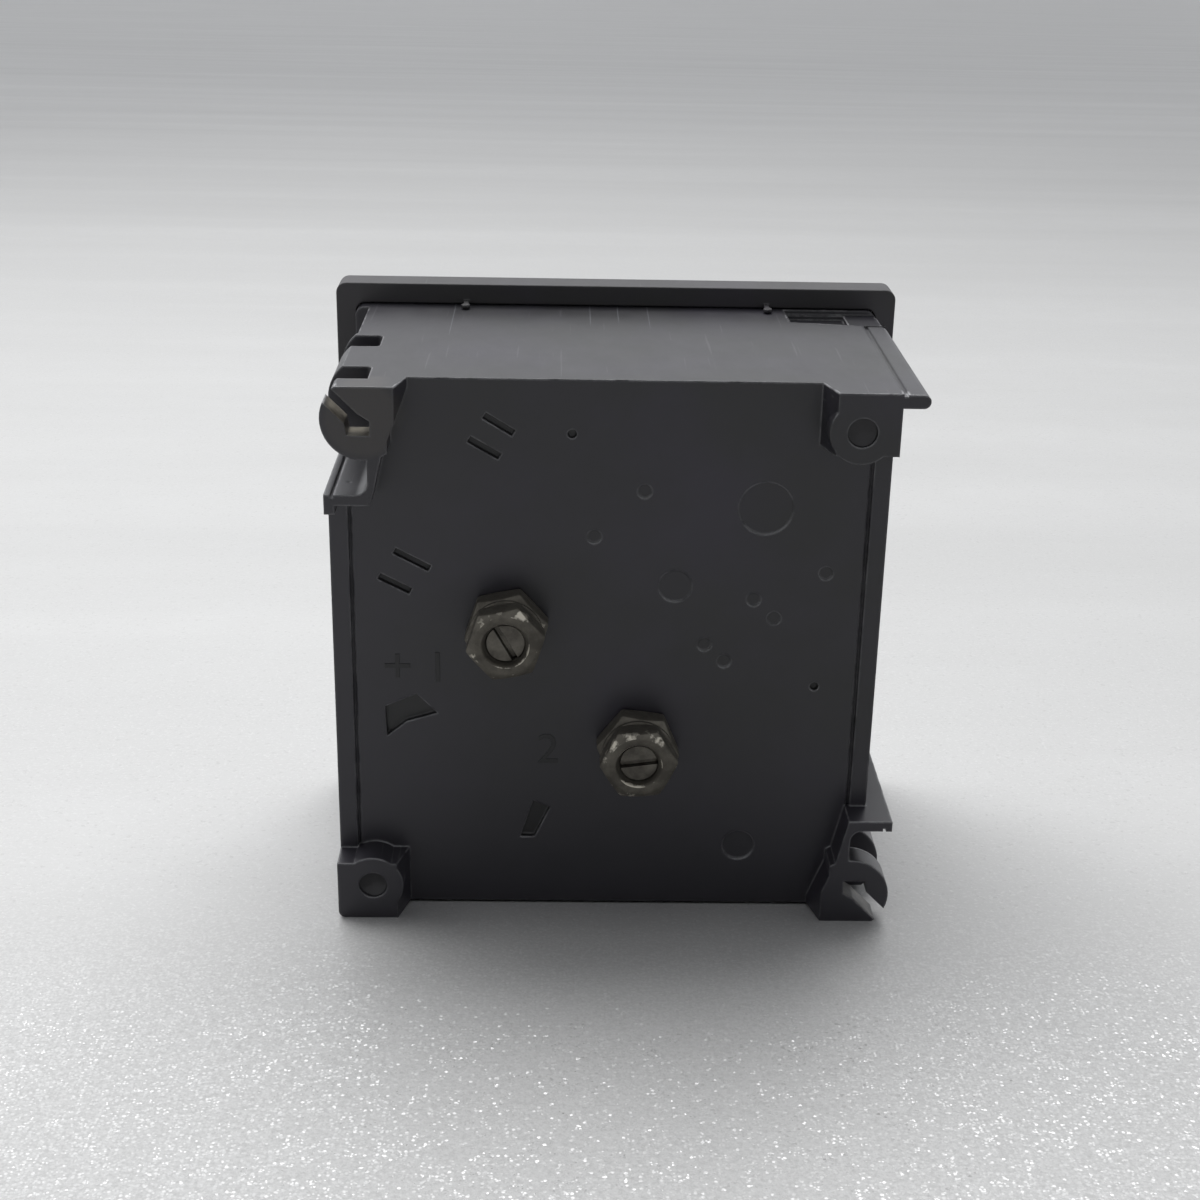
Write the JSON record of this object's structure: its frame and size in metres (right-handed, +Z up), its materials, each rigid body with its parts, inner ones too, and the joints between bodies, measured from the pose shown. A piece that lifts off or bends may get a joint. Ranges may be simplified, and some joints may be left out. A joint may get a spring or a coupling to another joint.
{
  "type": "panel ammeter",
  "caption": "Square flush-mounting moving-coil ammeter: black moulded case with clamp sockets and slotted stud terminals, glazed dial, pointer and zero screw in front",
  "frame": {"origin": "centre of the panel face, the plane in which the front frame seats on its panel", "axes": "+Y backwards through the panel, away from the dial; +Z up; +X to the right as the dial is read"},
  "size_m": [0.096, 0.0623, 0.096],
  "materials": {
    "housing_black": "satin moulded thermoset",
    "frame_black": "satin moulded",
    "window": "clear flat",
    "seal": "matte",
    "dial_white": "matte white lacquer",
    "carrier_grey": "moulded",
    "casting": "die cast",
    "soft_iron": "turned",
    "magnet": "ground",
    "enamelled_copper": "enamelled wire",
    "thin_aluminium": "sheet",
    "pointer_black": "thin sheet lacquered matte black",
    "zero_black": "moulded",
    "terminal_metal": "tarnished plating",
    "lug_copper": "tinned copper",
    "manganin": "rolled strip",
    "brass": "milled",
    "spring_bronze": "bright strip",
    "screw_steel": "zinc plated"
  },
  "bodies": {
    "case": {"housing": "housing_black", "bezel_frame": "frame_black", "window_glass": "window", "window_seal": "seal", "dial_plate": "dial_white", "dial_screws": "screw_steel", "pointer_stops": "pointer_black", "dial_carrier": "carrier_grey", "carrier_screws": "screw_steel", "movement_frame": "casting", "frame_screws": "screw_steel", "yoke_ring": "soft_iron", "core_magnet": "magnet", "front_bridge": "brass", "rear_bridge": "brass", "bridge_bolts": "screw_steel", "jewel_screw_front": "brass", "jewel_screw_rear": "brass", "stud_plus": "terminal_metal", "stud_minus": "terminal_metal", "base_nuts": "terminal_metal", "terminal_washers": "terminal_metal", "terminal_nuts": "terminal_metal", "shunt_lugs": "lug_copper", "shunt_strip": "manganin", "stud_nuts": "terminal_metal"},
    "moving_coil": {"coil_former": "thin_aluminium", "coil_winding": "enamelled_copper", "pivot_front": "screw_steel", "pivot_rear": "screw_steel", "pointer": "pointer_black", "balance_weights": "brass", "hairspring_front": "spring_bronze", "hairspring_rear": "spring_bronze"},
    "zero_screw": {"zero_screw": "zero_black", "zero_clip": "screw_steel"},
    "zero_lever": {"zero_lever": "brass"}
  },
  "joints": [
    {"name": "pointer_swing", "type": "hinge", "parent": "case", "child": "moving_coil", "pos_m": [0.0235, 0.004, -0.0235], "axis": [0, 1, 0], "range_deg": [-3, 93], "stiffness_Nm_per_rad": 0.0005, "deforming": ["hairspring_front", "hairspring_rear"]},
    {"name": "zero_screw_turn", "type": "hinge", "parent": "case", "child": "zero_screw", "pos_m": [0.03269, -0.006, -0.03269], "axis": [0, 1, 0], "range_deg": [-40, 40]},
    {"name": "zero_lever_turn", "type": "hinge", "parent": "case", "child": "zero_lever", "pos_m": [0.0235, 0.0035, -0.0235], "axis": [0, 1, 0], "range_deg": [-3.4, 3.4]}
  ],
  "couplings": [
    {"joint": "zero_lever_turn", "follows": "zero_screw_turn", "ratio": -0.08333}
  ]
}
